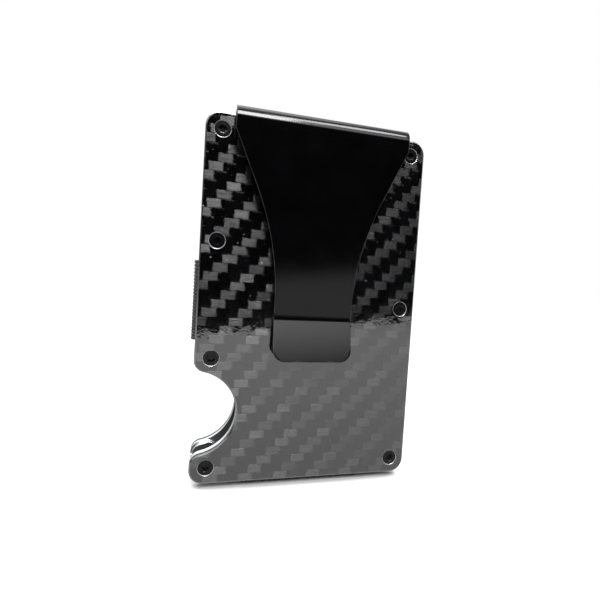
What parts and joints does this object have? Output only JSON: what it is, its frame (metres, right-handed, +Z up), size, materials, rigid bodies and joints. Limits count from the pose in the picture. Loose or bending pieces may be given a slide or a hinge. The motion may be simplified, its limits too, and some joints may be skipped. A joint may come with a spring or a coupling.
{
  "type": "card wallet with money clip",
  "caption": "Slim two-plate card wallet held together by elastic straps, with a sprung money clip on its front and a thumb notch in one long edge.",
  "frame": {"origin": "centre of the whole object's box in plan, on the surface that the bottom strap stands on", "axes": "+Z up along the wallet's height, +X across its width from the notched edge to the open edge, -Y out of the clip side and +Y out of the plain back"},
  "size_m": [0.055, 0.0158, 0.0887],
  "materials": {
    "carbon_laminate": "satin clear coat over 2x2 twill carbon fibre",
    "milled_aluminium": "milled, clear anodised",
    "black_screw_steel": "black oxide",
    "elastic_webbing": "ribbed woven elastic",
    "black_spring_steel": "satin black coating"
  },
  "bodies": {
    "back_half": {"back_cover": "carbon_laminate", "back_liner": "milled_aluminium", "back_screws": "black_screw_steel", "loop_strap_back_run": "elastic_webbing", "loop_strap_top_span": "elastic_webbing", "loop_strap_bottom_span": "elastic_webbing", "side_strap_back_end": "elastic_webbing", "side_strap_span": "elastic_webbing"},
    "front_half": {"front_cover": "carbon_laminate", "front_liner": "milled_aluminium", "front_screws": "black_screw_steel", "loop_strap_front_run": "elastic_webbing", "side_strap_front_end": "elastic_webbing", "clip_bridge": "black_spring_steel"},
    "clip_leg": {"clip_blade": "black_spring_steel"}
  },
  "joints": [
    {"name": "card_gap_slide", "type": "slide", "parent": "back_half", "child": "front_half", "axis": [0, -1, 0], "range_m": [-0.0041, 0.0054], "stiffness_N_per_m": 600, "deforming": ["loop_strap_top_span", "loop_strap_bottom_span", "side_strap_span"]},
    {"name": "clip_flex", "type": "hinge", "parent": "front_half", "child": "clip_leg", "pos_m": [0.0005, -0.00788, 0.08563], "axis": [-1, 0, 0], "range_deg": [-0.9, 7], "stiffness_Nm_per_rad": 0.4}
  ]
}
